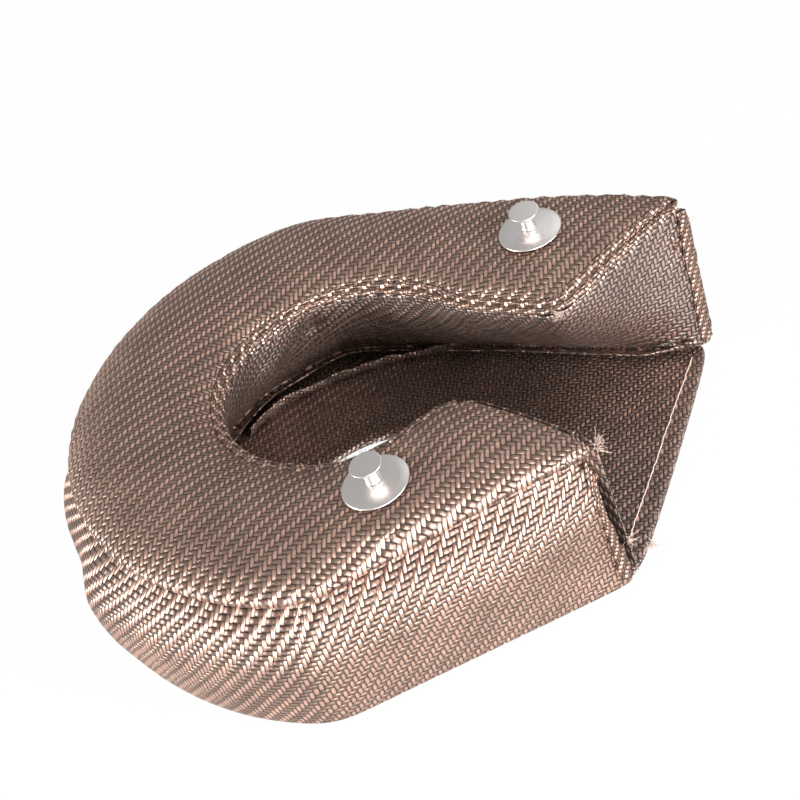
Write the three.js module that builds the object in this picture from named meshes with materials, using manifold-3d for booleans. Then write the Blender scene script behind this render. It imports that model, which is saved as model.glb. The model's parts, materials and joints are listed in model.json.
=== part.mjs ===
// Turbo heat blanket: a C-shaped padded jacket of woven basalt cloth for a turbine housing.
// Millimetres, +Z up. The pieces are drawn about the axis of the round opening: +X points out
// of the mouth, and the shorter front arm lies towards -Y. The finished part is then moved so
// that its origin is on the floor under the middle of its outer box.
import * as THREE from 'three';
import { mergeVertices } from 'three/addons/utils/BufferGeometryUtils.js';
import Module from 'manifold-3d';

const wasm = await Module();
wasm.setup();

// Cloth and clearances
const CLOTH = 1.2;               // thickness of the woven basalt cloth
const GAP = 0.4;                 // clearance between sewn layers
const LOOSE = 0.6;               // clearance of the fillings above and below
const SIDE_LOOSE = 1.1;          // and towards the lining

// Top panel, seen from above
const HOLE_RADIUS = 53;          // round opening over the turbine wheel
const LIP_RADIUS = 111.4;        // closed end, at the fold of the lip
const FRONT_CORNER_DEG = -93;    // where the closed end runs into the front arm
const REAR_CORNER_DEG = 108.7;   // where the closed end runs into the rear arm
const FRONT_END = [96, -58.5];   // outer corner of the front arm's end
const FRONT_TIP = [50, -32];     // inner corner of the front arm's end
const REAR_END = [124.4, 74];    // outer corner of the rear arm's end
const REAR_TIP = [78, 28];       // inner corner of the rear arm's end
const RIM_FRONT_DEG = -43;       // where the rim leaves its circle for the front tip
const RIM_REAR_DEG = 47;         // and for the rear tip
const REAR_BOW = 4;              // how far the rear edge bows out of a straight line

// Heights of the top panel
const LIP_HEIGHT = { frontEnd: 71, frontCorner: 62, back: 64.5, rearCorner: 67, rearEnd: 74.6 };
const RIM_HEIGHT = { frontEnd: 74.4, frontCorner: 67, back: 65.5, rearCorner: 67, rearEnd: 63 };
const PUFF = 6.5;                // how far the padding crowns the panel
const END_PUFF = 1.6;            // the same at the sewn ends
const PUFF_FADE = 26;            // length over which an end flattens
const LIP_ROLL = 5;              // depth of the rolled lip
const LIP_TUCK = 6;              // how far the lip turns back under the panel
const RIM_TURN = 4.5;            // depth of the panel's turned-down edge at the opening
const EDGE_ROUND = 1.2;          // rounding of both folded edges
const EDGE_FALL = 0.2;           // height lost over that rounding
const TUCK_FALL = 0.3;           // slope of the tucked-in lip

// Side wall
const BASE_RADIUS = 115;         // closed end, at the floor
const BASE_FRONT_END = [99.5, -57.5];
const BASE_REAR_END = [124.5, 76.5];
const WALL_FOOT = 0.4;           // the cloth's lower edge over the floor plane
const BULGE = 7;                 // outward belly of the closed end
const SLACK_BULGE = 5.5;         // what the slack cloth adds to it
const SLACK_AT = 0.4;            // share of the closed end where it hangs out most
const SLACK_WIDTH = 0.24;        // and how wide that is
const ARM_BULGE = 5.5;           // belly along the arms
const END_TUCK = 1.5;            // how far the cloth draws in at the mouth
const END_TUCK_FADE = 34;        // length over which it fills out again
const ARM_BULGE_FROM = 60;       // distance from an arm's end where the belly starts to grow
const ARM_BULGE_TO = 120;        // and where it is full
const FOLD_DEPTH = 2.6;          // slack folds at the back of the closed end
const FOLD_SPACING = 62;         // distance between those folds
const FOLD_REACH = 80;           // how far they run from the middle of the closed end

// Lining
const HEM_CLEAR = 2.3;           // lining's folded edge in front of the panel's edge
const HEM_DROP = 1.4;            // lining's folded edge below the panel's edge
const LINING_BELLY = 6;          // how far the padding swells the lining
const BELLY_WIDTH = { from: 8, to: 30 }; // lean of the lining over which belly and flap grow
const SEAM_INSET = { arms: 11, back: 24 }; // floor seam of the lining, in from the side wall
const INSET_GROWTH = 0.35;       // share of the closed end over which that inset grows
const SEAM_FLAP = 9;             // seam allowance that lies loose on the floor panel
const FLAP_LIFT = 3.5;           // height of the flap's free edge

// Floor panel
const FLOOR_PLY = 2.4;           // two plies of cloth
const BASE_HOLE_RADIUS = 37;     // round opening in the floor
const HEM_WIDTH = 7;             // folded hem at its opening and across the mouth
const HEM_RISE = 1;              // thickness that the hem adds
const HEM_STEP = 1;              // slope at the hem's stitched edge
const MOUTH_REACH = 2.5;          // how far the floor panel stands out of the mouth
const MOUTH_STEPS = 10;

// Fillings
const MAT_BASE = 51.5;           // underside of the felt mat
const MAT_CLEAR = 1.5;           // mat below the panel's cloth
const PACKING_WAISTS = [9, 18, 28, 38]; // heights between the packing's floor and the mat

// Lacing anchors
const ANCHOR = { washer: 25.5, sheet: 0.8, dish: 1, rimWidth: 3, edge: 0.3 };
const POST = {
  head: 12.2, headRim: 0.9, headEdge: 0.3, stem: 5.8, height: 8.2,
  collar: 0.25, collarHeight: 0.9, flare: 2.4, flareWidth: 0.8,
};
const SHANK = 3;                 // diameter of the pin below the washer
const SHANK_END = 1.6;           // how far it stands below the lock washer
const LOCK_WASHER = { outer: 16, sheet: 0.9, edge: 0.2 };
const POCKET_DEPTH = 3.2;        // room for it and the shank's end in the packing
const ANCHOR_INSET = 24.5;       // from the lip
const FRONT_ANCHOR_ALONG = 75;   // from the arm's end, along the lip
const REAR_ANCHOR_ALONG = 48;
const DIMPLE = 1.4;              // how far a washer is pulled into the padding
const DIMPLE_REACH = 27;
const SEAT_MARGIN = 4;           // flat cloth left round a washer
const DRILL = 40;                // length of a cutting tool beyond what it passes through

// Stations along the C, from the front arm's end round to the rear arm's end
const FRONT_STEPS = 8;
const BACK_STEPS = 20;
const REAR_STEPS = 11;
const STATIONS = FRONT_STEPS + BACK_STEPS + REAR_STEPS;
const END_STEPS = 5;             // stations of the lining across each arm's end
const END_STATIONS = 2.7;        // stations of the side wall that they are sewn to
const FILLING_ENDS = 3;          // stations left bare of filling at each arm's end
const ROUND = 24;                // facets of a turned part

// Cloth colours
const cloth = (color, roughness) => new THREE.MeshStandardMaterial({ color, roughness, metalness: 0 });
const CLOTH_OUT = cloth('#7a6358', 0.6);
const CLOTH_IN = cloth('#5d4a40', 0.7);
const FELT = cloth('#d9d4c8', 0.95);
const STEEL = new THREE.MeshStandardMaterial({ color: '#c9c6c4', roughness: 0.35, metalness: 1 });

const vec = (x, y, z = 0) => new THREE.Vector3(x, y, z);
const mix = THREE.MathUtils.lerp;
const smooth = THREE.MathUtils.smoothstep;
const polar = (radius, deg) => {
  const angle = THREE.MathUtils.degToRad(deg);
  return vec(radius * Math.cos(angle), radius * Math.sin(angle));
};
const flatDistance = (a, b) => Math.hypot(a.x - b.x, a.y - b.y);

// A station is a stretch of the C (0 front arm, 1 closed end, 2 rear arm) and how far along it is.
function station(i) {
  if (i <= FRONT_STEPS) return [0, i / FRONT_STEPS];
  if (i <= FRONT_STEPS + BACK_STEPS) return [1, (i - FRONT_STEPS) / BACK_STEPS];
  return [2, (i - FRONT_STEPS - BACK_STEPS) / REAR_STEPS];
}

function alongHeights(heights, i) {
  const [stretch, f] = station(i);
  if (stretch === 0) return mix(heights.frontEnd, heights.frontCorner, smooth(f, 0, 1));
  if (stretch === 2) return mix(heights.rearCorner, heights.rearEnd, smooth(f, 0.1, 1));
  if (f < 0.5) return mix(heights.frontCorner, heights.back, smooth(f, 0, 0.5));
  return mix(heights.back, heights.rearCorner, smooth(f, 0.5, 1));
}

// Outer outline of a given radius with its two arms
function outline(radius, frontEnd, rearEnd) {
  const back = REAR_CORNER_DEG - 360;
  const front = vec(...frontEnd);
  const rear = vec(...rearEnd);
  const corner = polar(radius, FRONT_CORNER_DEG);
  const rearCorner = polar(radius, back);
  const side = rear.clone().sub(rearCorner).normalize();
  const out = vec(-side.y, side.x);
  return Array.from({ length: STATIONS + 1 }, (_, i) => {
    const [stretch, f] = station(i);
    if (stretch === 0) return front.clone().lerp(corner, f);
    if (stretch === 1) return polar(radius, mix(FRONT_CORNER_DEG, back, f));
    const bow = REAR_BOW * 4 * f * (1 - f);
    return rearCorner.clone().lerp(rear, f).addScaledVector(out, bow);
  });
}

// Rim of the opening: front tip, round the hole, rear tip
function rimOutline() {
  const back = REAR_CORNER_DEG - 360;
  const leave = RIM_REAR_DEG - 360;
  const first = 1 / FRONT_STEPS;
  const turn = 6 / REAR_STEPS;
  return Array.from({ length: STATIONS + 1 }, (_, i) => {
    const [stretch, f] = station(i);
    if (stretch === 1) return polar(HOLE_RADIUS, mix(FRONT_CORNER_DEG, back, f));
    if (stretch === 0) {
      if (f < first) return vec(...FRONT_TIP).lerp(polar(HOLE_RADIUS, RIM_FRONT_DEG), f / first);
      return polar(HOLE_RADIUS, mix(RIM_FRONT_DEG, FRONT_CORNER_DEG, (f - first) / (1 - first)));
    }
    if (f < turn) return polar(HOLE_RADIUS, mix(back, leave, f / turn));
    return polar(HOLE_RADIUS, leave).lerp(vec(...REAR_TIP), (f - turn) / (1 - turn));
  });
}

const lip = outline(LIP_RADIUS, FRONT_END, REAR_END);
const base = outline(BASE_RADIUS, BASE_FRONT_END, BASE_REAR_END);
const rim = rimOutline();

function lengths(points) {
  const sums = [0];
  for (let i = 1; i < points.length; i += 1) sums.push(sums[i - 1] + flatDistance(points[i], points[i - 1]));
  return sums;
}
const lipLengths = lengths(lip);
const lipLength = lipLengths[STATIONS];

// Crown of the padding at a station: full round the closed end, nearly flat at the arms' ends
function crown(i) {
  const toEnd = Math.min(lipLengths[i], lipLength - lipLengths[i]);
  return mix(END_PUFF, PUFF, smooth(toEnd, 0, PUFF_FADE));
}

// Middle surface of the top panel's upper side, before the anchors pull it in
function panelPoint(i, across) {
  const point = rim[i].clone().lerp(lip[i], across);
  const edge = mix(alongHeights(RIM_HEIGHT, i), alongHeights(LIP_HEIGHT, i), across);
  point.z = edge + crown(i) * (1 - Math.abs(2 * across - 1) ** 2.6);
  return point;
}

// Place on the panel at a distance along the lip from one arm's end, and in from the lip
function anchorPlace(along) {
  let i = 1;
  while (i < STATIONS && lipLengths[i] < along) i += 1;
  const f = (along - lipLengths[i - 1]) / (lipLengths[i] - lipLengths[i - 1]);
  const width = mix(flatDistance(rim[i - 1], lip[i - 1]), flatDistance(rim[i], lip[i]), f);
  const across = 1 - ANCHOR_INSET / width;
  const at = (step, side) => panelPoint(i - 1, side).lerp(panelPoint(i, side), step);
  const centre = at(f, across);
  const reach = ANCHOR.washer / 2 / width;
  const alongPanel = panelPoint(i, across).sub(panelPoint(i - 1, across));
  const acrossPanel = at(f, across + reach).sub(at(f, across - reach));
  const axis = acrossPanel.cross(alongPanel).normalize();
  if (axis.z < 0) axis.negate();
  centre.z -= DIMPLE;
  return { centre, axis };
}
const anchors = {
  front_anchor: anchorPlace(FRONT_ANCHOR_ALONG),
  rear_anchor: anchorPlace(lipLength - REAR_ANCHOR_ALONG),
};

// The washers pull the panel into a flat dimple
function dimpled(point) {
  const result = point.clone();
  for (const { centre, axis } of Object.values(anchors)) {
    const distance = flatDistance(point, centre);
    const flat = centre.z - (axis.x * (point.x - centre.x) + axis.y * (point.y - centre.y)) / axis.z;
    result.z = mix(flat, result.z, smooth(distance, ANCHOR.washer / 2 + SEAT_MARGIN, DIMPLE_REACH));
  }
  return result;
}

// Sheet of cloth on a grid of points, thickened to both sides and closed round its border
function sheet(grid, thickness) {
  const rows = grid.length;
  const columns = grid[0].length;
  const at = (i, j) => grid[Math.min(Math.max(i, 0), rows - 1)][Math.min(Math.max(j, 0), columns - 1)];
  const position = [];
  for (const side of [0.5, -0.5]) {
    for (let i = 0; i < rows; i += 1) {
      for (let j = 0; j < columns; j += 1) {
        const u = at(i + 1, j).clone().sub(at(i - 1, j));
        const v = at(i, j + 1).clone().sub(at(i, j - 1));
        const normal = u.cross(v).normalize();
        position.push(...grid[i][j].clone().addScaledVector(normal, side * thickness).toArray());
      }
    }
  }
  const index = [];
  const quad = (a, b, c, d) => index.push(a, b, c, a, c, d);
  const up = (i, j) => i * columns + j;
  const down = (i, j) => up(i, j) + rows * columns;
  for (let i = 0; i + 1 < rows; i += 1) {
    for (let j = 0; j + 1 < columns; j += 1) {
      quad(up(i, j), up(i + 1, j), up(i + 1, j + 1), up(i, j + 1));
      quad(down(i, j), down(i, j + 1), down(i + 1, j + 1), down(i + 1, j));
    }
    quad(up(i, 0), down(i, 0), down(i + 1, 0), up(i + 1, 0));
    quad(up(i, columns - 1), up(i + 1, columns - 1), down(i + 1, columns - 1), down(i, columns - 1));
  }
  for (let j = 0; j + 1 < columns; j += 1) {
    quad(up(0, j), up(0, j + 1), down(0, j + 1), down(0, j));
    quad(up(rows - 1, j), down(rows - 1, j), down(rows - 1, j + 1), up(rows - 1, j + 1));
  }
  return buffer(position, index);
}

// Loft of closed sections, either with flat ends or joined into a ring
function loft(sections, ring = false) {
  const count = sections[0].length;
  const position = sections.flat().flatMap((point) => point.toArray());
  const index = [];
  const last = ring ? sections.length : sections.length - 1;
  for (let i = 0; i < last; i += 1) {
    const next = (i + 1) % sections.length;
    for (let j = 0; j < count; j += 1) {
      const k = (j + 1) % count;
      const [a, b, c, d] = [i * count + j, next * count + j, next * count + k, i * count + k];
      index.push(a, b, c, a, c, d);
    }
  }
  if (!ring) {
    for (const [i, ahead] of [[0, true], [sections.length - 1, false]]) {
      const points = sections[i];
      const u = points[count - 1].clone().sub(points[0]).setZ(0).normalize();
      const flat = points.map((point) => new THREE.Vector2(point.clone().sub(points[0]).dot(u), point.z));
      for (const [a, b, c] of THREE.ShapeUtils.triangulateShape(flat, [])) {
        const face = [i * count + a, i * count + b, i * count + c];
        index.push(...(capTurns(flat, a, b, c) === ahead ? face : face.reverse()));
      }
    }
  }
  return buffer(position, index);
}

// Whether a triangle of an end cap turns the way its section does
function capTurns(flat, a, b, c) {
  const ab = flat[b].clone().sub(flat[a]);
  const ac = flat[c].clone().sub(flat[a]);
  return Math.sign(ab.cross(ac)) === Math.sign(THREE.ShapeUtils.area(flat));
}

function buffer(position, index) {
  const geometry = new THREE.BufferGeometry();
  geometry.setAttribute('position', new THREE.Float32BufferAttribute(position, 3));
  geometry.setIndex(index);
  return outward(geometry);
}

// Faces point out of the solid: a closed mesh that encloses a negative volume is turned
function outward(geometry) {
  const { position } = geometry.attributes;
  const index = geometry.index.array;
  const [a, b, c] = [vec(0, 0), vec(0, 0), vec(0, 0)];
  let volume = 0;
  for (let i = 0; i < index.length; i += 3) {
    a.fromBufferAttribute(position, index[i]);
    b.fromBufferAttribute(position, index[i + 1]);
    c.fromBufferAttribute(position, index[i + 2]);
    volume += a.dot(b.cross(c));
  }
  if (volume < 0) geometry.setIndex(Array.from(index).reverse());
  return geometry;
}

function toSolid(geometry) {
  const bare = geometry.clone();
  bare.deleteAttribute('normal');
  bare.deleteAttribute('uv');
  const merged = mergeVertices(bare, 1e-4);
  return new wasm.Manifold(new wasm.Mesh({
    numProp: 3,
    vertProperties: new Float32Array(merged.attributes.position.array),
    triVerts: new Uint32Array(merged.index.array),
  }));
}

function cut(geometry, tools) {
  const result = tools.reduce((solid, tool) => solid.subtract(toSolid(tool)), toSolid(geometry));
  const mesh = result.getMesh();
  return buffer(Array.from(mesh.vertProperties), Array.from(mesh.triVerts));
}

// Turned part: a closed profile of [radius, height] points about an anchor's axis
function turned(profile, { centre, axis }) {
  const points = profile.map(([radius, height]) => new THREE.Vector2(radius, height));
  const geometry = new THREE.LatheGeometry(points, ROUND);
  geometry.deleteAttribute('normal');
  geometry.deleteAttribute('uv');
  const merged = mergeVertices(geometry, 1e-4);
  const upright = vec(0, 0, 1);
  const lean = new THREE.Quaternion().setFromUnitVectors(upright, axis);
  merged.rotateX(Math.PI / 2);
  merged.applyQuaternion(lean);
  merged.translate(...centre.toArray());
  return outward(dropSlivers(merged));
}

// A lathe leaves empty triangles where its profile meets the axis
function dropSlivers(geometry) {
  const index = geometry.index.array;
  const kept = [];
  for (let i = 0; i < index.length; i += 3) {
    const [a, b, c] = [index[i], index[i + 1], index[i + 2]];
    if (a !== b && b !== c && a !== c) kept.push(a, b, c);
  }
  geometry.setIndex(kept);
  return geometry;
}

const plug = (radius, low, high, anchor) => turned(
  [[0, low], [radius, low], [radius, high], [0, high]], anchor);

// Top panel: rolled lip, crowned upper side, turned-down edge at the opening
const UPPER = [0.93, 0.83, 0.7, 0.57, 0.44, 0.3, 0.17, 0.07];

function panelSection(i) {
  const out = lip[i].clone().sub(rim[i]).normalize();
  const lipZ = alongHeights(LIP_HEIGHT, i);
  const rimZ = alongHeights(RIM_HEIGHT, i);
  const fromLip = (inset, z) => lip[i].clone().addScaledVector(out, -inset).setZ(z);
  const fromRim = (inset, z) => rim[i].clone().addScaledVector(out, inset).setZ(z);
  return [
    fromLip(LIP_TUCK, lipZ - LIP_ROLL),
    fromLip(EDGE_ROUND, lipZ - LIP_ROLL + TUCK_FALL),
    fromLip(0, lipZ - LIP_ROLL / 2),
    fromLip(EDGE_ROUND, lipZ - EDGE_FALL),
    ...UPPER.map((across) => dimpled(panelPoint(i, across))),
    fromRim(EDGE_ROUND, rimZ - EDGE_FALL),
    fromRim(0, rimZ - RIM_TURN / 2),
    fromRim(0, rimZ - RIM_TURN),
  ];
}
const everyStation = Array.from({ length: STATIONS + 1 }, (_, i) => i);
const panelGrid = everyStation.map(panelSection);

// Side wall: a band that bellies out between the floor and the lip
const WALL_LEVELS = [0, 0.06, 0.2, 0.36, 0.52, 0.68, 0.84, 1];

function wallPoint(i, level) {
  const before = base[Math.max(i - 1, 0)];
  const after = base[Math.min(i + 1, STATIONS)];
  const side = after.clone().sub(before).normalize();
  const out = vec(side.y, -side.x);
  if (out.dot(base[i]) < 0) out.negate();
  const inward = lip[i].clone().sub(rim[i]).normalize();
  const top = lip[i].clone().addScaledVector(inward, -(LIP_TUCK - CLOTH));
  const topZ = alongHeights(LIP_HEIGHT, i) - LIP_ROLL - CLOTH / 2 - 2 * GAP;
  const foot = base[i].clone().addScaledVector(out, -CLOTH / 2);
  const point = foot.lerp(top, level);
  point.z = mix(WALL_FOOT + CLOTH / 2, topZ, level);
  const toEnd = Math.min(lipLengths[i], lipLength - lipLengths[i]);
  const [stretch, f] = station(i);
  const sag = stretch === 1 ? SLACK_BULGE * Math.exp(-(((f - SLACK_AT) / SLACK_WIDTH) ** 2)) : 0;
  const grown = stretch === 1 ? 1 : smooth(toEnd, ARM_BULGE_FROM, ARM_BULGE_TO);
  const full = mix(ARM_BULGE, BULGE, grown) + sag;
  const belly = mix(-END_TUCK, full, smooth(toEnd, 0, END_TUCK_FADE)) * Math.sin(Math.PI * level ** 0.85);
  const arc = lipLengths[i] - lipLengths[FRONT_STEPS + BACK_STEPS / 2];
  const slack = Math.exp(-((arc / FOLD_REACH) ** 2));
  const fold = FOLD_DEPTH * slack * Math.cos((2 * Math.PI * arc) / FOLD_SPACING);
  return point.addScaledVector(out, belly + fold * Math.sin(Math.PI * level));
}
const wallGrid = everyStation.map((i) => WALL_LEVELS.map((level) => wallPoint(i, level)));

// Height of the panel's upper side over a place in plan
function panelHeight(x, y) {
  const first = 3;
  const last = first + UPPER.length + 1;
  for (let i = 0; i < STATIONS; i += 1) {
    for (let j = first; j < last; j += 1) {
      const [a, d] = panelGrid[i].slice(j, j + 2);
      const [b, c] = panelGrid[i + 1].slice(j, j + 2);
      for (const corners of [[a, b, c], [a, c, d]]) {
        const z = heightOn(corners, x, y);
        if (z !== null) return z;
      }
    }
  }
  return null;
}

function heightOn([a, b, c], x, y) {
  const area = (b.x - a.x) * (c.y - a.y) - (c.x - a.x) * (b.y - a.y);
  const u = ((b.x - x) * (c.y - y) - (c.x - x) * (b.y - y)) / area;
  const v = ((c.x - x) * (a.y - y) - (a.x - x) * (c.y - y)) / area;
  const w = 1 - u - v;
  if (Math.min(u, v, w) < -1e-6) return null;
  return u * a.z + v * b.z + w * c.z;
}

// Lining: its upper hem follows the end of the front arm, the opening and the end of the rear arm,
// and its lower seam lies on the floor panel
function hemStations() {
  const offset = HEM_CLEAR;
  const stations = [];
  const endEdge = (i, mouthward, fractions) => {
    for (const f of fractions) {
      const point = panelPoint(i, f).addScaledVector(mouthward, offset);
      stations.push(point.setZ(panelPoint(i, f).z - HEM_DROP));
    }
  };
  const across = Array.from({ length: END_STEPS }, (_, k) => 1 - k / END_STEPS);
  const normalTo = (a, b) => {
    const side = b.clone().sub(a).setZ(0).normalize();
    const out = vec(-side.y, side.x);
    return out.x < 0 ? out.negate() : out;
  };
  const frontOut = normalTo(rim[0], lip[0]);
  const rearOut = normalTo(rim[STATIONS], lip[STATIONS]);
  endEdge(0, frontOut, across);
  for (let i = 0; i <= STATIONS; i += 1) {
    const towardsHole = rim[i].clone().sub(lip[i]).normalize();
    const point = rim[i].clone().addScaledVector(towardsHole, offset);
    if (i === 0) point.addScaledVector(frontOut, offset);
    if (i === STATIONS) point.addScaledVector(rearOut, offset);
    stations.push(point.setZ(alongHeights(RIM_HEIGHT, i) - HEM_DROP));
  }
  endEdge(STATIONS, rearOut, across.reverse());
  return stations;
}

// Distance of the floor seam from the side wall at a station
function seamInset(i) {
  const [stretch, f] = station(i);
  const { arms, back } = SEAM_INSET;
  if (stretch !== 1) return arms;
  return mix(arms, back, Math.min(smooth(f, 0, INSET_GROWTH), smooth(1 - f, 0, INSET_GROWTH)));
}

// Station of the side wall that a hem station is sewn to at the floor
function seamStation(fromFront, fromRear) {
  const inner = (STATIONS - 2 * END_STATIONS) / STATIONS;
  const across = (steps) => (END_STATIONS * Math.max(steps - 1, 0)) / (END_STEPS - 1);
  if (fromFront < END_STEPS) return across(fromFront);
  if (fromRear < END_STEPS) return STATIONS - across(fromRear);
  return END_STATIONS + (fromFront - END_STEPS) * inner;
}

// Floor seam: inside the side wall by SEAM_INSET, running out to the wall at both arms' ends
function seamStations(count) {
  const stations = [];
  for (let k = 0; k < count; k += 1) {
    const i = seamStation(k, count - 1 - k);
    const low = Math.min(Math.floor(i), STATIONS - 1);
    const foot = base[low].clone().lerp(base[low + 1], i - low);
    const side = base[low + 1].clone().sub(base[low]).normalize();
    const inward = vec(-side.y, side.x);
    if (inward.dot(foot) > 0) inward.negate();
    const toEnd = Math.min(k, count - 1 - k);
    const inset = mix(CLOTH + 2 * GAP, seamInset(low), Math.min(toEnd / 2, 1));
    const mouthward = side.multiplyScalar(k < count / 2 ? -1 : 1);
    const beyond = toEnd < 2 ? HEM_CLEAR : 0;
    stations.push(foot.addScaledVector(inward, inset).addScaledVector(mouthward, beyond));
  }
  return stations;
}

const hem = hemStations();
const seam = seamStations(hem.length);
const LINING_LEVELS = [0, 0.08, 0.22, 0.4, 0.6, 0.8, 0.94, 1];

function liningSection(k) {
  const top = hem[k];
  const foot = seam[k].clone().setZ(FLOOR_PLY + GAP + 0.7 * CLOTH);
  const run = foot.clone().sub(top);
  const level = run.clone().setZ(0);
  const width = level.length();
  const out = width > 1 ? level.normalize() : vec(1, 0);
  const lean = smooth(width, BELLY_WIDTH.from, BELLY_WIDTH.to);
  const points = LINING_LEVELS.map((f) => top.clone().addScaledVector(run, f)
    .addScaledVector(out, -LINING_BELLY * lean * Math.sin(Math.PI * f ** 0.7)));
  const flap = SEAM_FLAP * lean;
  points.push(foot.clone().addScaledVector(out, -flap / 2).setZ(foot.z + CLOTH / 2));
  points.push(foot.clone().addScaledVector(out, -flap - GAP).setZ(foot.z + FLAP_LIFT));
  return points;
}
const liningGrid = hem.map((_, k) => liningSection(k));

const parts = new THREE.Group();
function add(name, geometry, material) {
  const mesh = new THREE.Mesh(geometry, material);
  mesh.name = name;
  parts.add(mesh);
}

const seatCuts = Object.values(anchors).flatMap((anchor) => [
  plug(SHANK / 2 + GAP, -DRILL, DRILL, anchor),
  plug(ANCHOR.washer / 2 + GAP, CLOTH / 2, DRILL, anchor),
]);
add('top_panel', cut(sheet(panelGrid, CLOTH), seatCuts), CLOTH_OUT);
add('side_wall', sheet(wallGrid, CLOTH), CLOTH_OUT);
add('inner_lining', sheet(liningGrid, CLOTH), CLOTH_IN);

// Floor panel: a ring of two plies between its round opening and the side wall, hemmed at the
// opening and across the mouth
function floorRing() {
  const wallFoot = everyStation.map((i) => wallGrid[i][0].clone().setZ(0));
  const edge = wallFoot.map((foot, i) => {
    const side = wallFoot[Math.min(i + 1, STATIONS)].clone().sub(wallFoot[Math.max(i - 1, 0)]).normalize();
    const inward = vec(-side.y, side.x);
    if (inward.dot(foot) > 0) inward.negate();
    return foot.clone().addScaledVector(inward, CLOTH / 2 + 2 * GAP);
  });
  const front = edge[0];
  const rear = edge[STATIONS];
  const mouth = [];
  for (let k = 1; k < MOUTH_STEPS; k += 1) {
    const f = k / MOUTH_STEPS;
    const out = vec(rear.y - front.y, front.x - rear.x).normalize();
    const reach = MOUTH_REACH * Math.sin(Math.PI * f) ** 0.3;
    const rise = HEM_RISE * Math.sin(Math.PI * f) ** 0.5;
    mouth.push({ point: rear.clone().lerp(front, f).addScaledVector(out, reach), rise });
  }
  return [...edge.map((point) => ({ point, rise: 0 })), ...mouth];
}

function floorSection({ point, rise }) {
  const out = point.clone().normalize();
  const reach = point.length();
  const at = (radius, z) => out.clone().multiplyScalar(radius).setZ(z);
  const round = FLOOR_PLY / 3;
  const top = FLOOR_PLY + HEM_RISE;
  const hole = BASE_HOLE_RADIUS;
  return [
    at(hole + round, 0), at(reach - round, 0), at(reach, round), at(reach, FLOOR_PLY - round + rise),
    at(reach - round, FLOOR_PLY + rise), at(reach - HEM_WIDTH + HEM_STEP, FLOOR_PLY + rise),
    at(reach - HEM_WIDTH, FLOOR_PLY), at(hole + HEM_WIDTH, FLOOR_PLY),
    at(hole + HEM_WIDTH - HEM_STEP, top),
    at(hole + round, top), at(hole, top - round), at(hole, round),
  ];
}
add('bottom_panel', loft(floorRing().map(floorSection), true), CLOTH_IN);

// Fillings share the lining's stations: each section runs from the lining out to the side wall
function outsideOf(curve, start, direction) {
  let best = Infinity;
  for (let i = 0; i + 1 < curve.length; i += 1) {
    const a = curve[i];
    const b = curve[i + 1];
    const side = b.clone().sub(a);
    const area = direction.x * side.y - direction.y * side.x;
    const along = ((a.x - start.x) * side.y - (a.y - start.y) * side.x) / area;
    const f = ((a.x - start.x) * direction.y - (a.y - start.y) * direction.x) / area;
    if (along > 0 && f >= -1e-6 && f <= 1 + 1e-6) best = Math.min(best, along);
  }
  return best;
}

// Plan curve of a grid at a height, each column read off between its own points
function levelCurve(grid, z) {
  return grid.map((column) => {
    for (let j = 0; j + 1 < column.length; j += 1) {
      const [a, b] = [column[j], column[j + 1]];
      if ((a.z - z) * (b.z - z) <= 0 && a.z !== b.z) return a.clone().lerp(b, (z - a.z) / (b.z - a.z));
    }
    return column[column.length - 1].clone();
  });
}

const fillStations = hem.map((_, k) => k).slice(FILLING_ENDS, hem.length - FILLING_ENDS);
const liningFaces = liningGrid.map((column) => column.slice(0, LINING_LEVELS.length));

function ray(k) {
  const direction = seam[k].clone().sub(hem[k]).setZ(0).normalize();
  return { start: hem[k].clone().setZ(0), direction };
}

function innerReach(k, z) {
  const { start, direction } = ray(k);
  const column = liningFaces[k];
  for (let j = 0; j + 1 < column.length; j += 1) {
    const [a, b] = [column[j], column[j + 1]];
    const low = Math.max(z, column[column.length - 1].z);
    if (a.z >= low && b.z <= low) {
      const point = a.clone().lerp(b, (a.z - low) / (a.z - b.z)).sub(start);
      return point.dot(direction);
    }
  }
  return 0;
}

const packingLevels = [FLOOR_PLY + LOOSE, ...PACKING_WAISTS, MAT_BASE - LOOSE];
const wallCurves = packingLevels.map((z) => levelCurve(wallGrid, z));

function packingSection(k) {
  const { start, direction } = ray(k);
  const at = (reach, z) => start.clone().addScaledVector(direction, reach).setZ(z);
  const inner = packingLevels.map((z) => at(innerReach(k, z) + CLOTH + SIDE_LOOSE, z));
  const outer = packingLevels.map((z, n) => at(
    outsideOf(wallCurves[n], start, direction) - CLOTH - LOOSE, z));
  return [...inner, ...outer.reverse()];
}
const packingGrid = fillStations.map(packingSection);

const matOutline = everyStation.map((i) => {
  const inward = rim[i].clone().sub(lip[i]).normalize();
  return lip[i].clone().addScaledVector(inward, LIP_TUCK + CLOTH / 2 + LOOSE);
});

const MAT_SPREAD = [0, 0.14, 0.32, 0.5, 0.68, 0.86, 1];

function matSection(k) {
  const { start, direction } = ray(k);
  const near = HEM_CLEAR + CLOTH;
  const inner = Math.max(innerReach(k, MAT_BASE) + CLOTH + SIDE_LOOSE, near);
  const outer = outsideOf(matOutline, start, direction);
  const at = (reach, z) => start.clone().addScaledVector(direction, reach).setZ(z);
  const top = MAT_SPREAD.map((f) => {
    const point = at(mix(near, outer, f), 0);
    while (panelHeight(point.x, point.y) === null) point.addScaledVector(direction, GAP);
    return point.setZ(panelHeight(point.x, point.y) - CLOTH / 2 - MAT_CLEAR);
  });
  return [at(inner, MAT_BASE), ...top, at(outer, MAT_BASE)];
}
const matGrid = fillStations.map(matSection);

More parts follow.
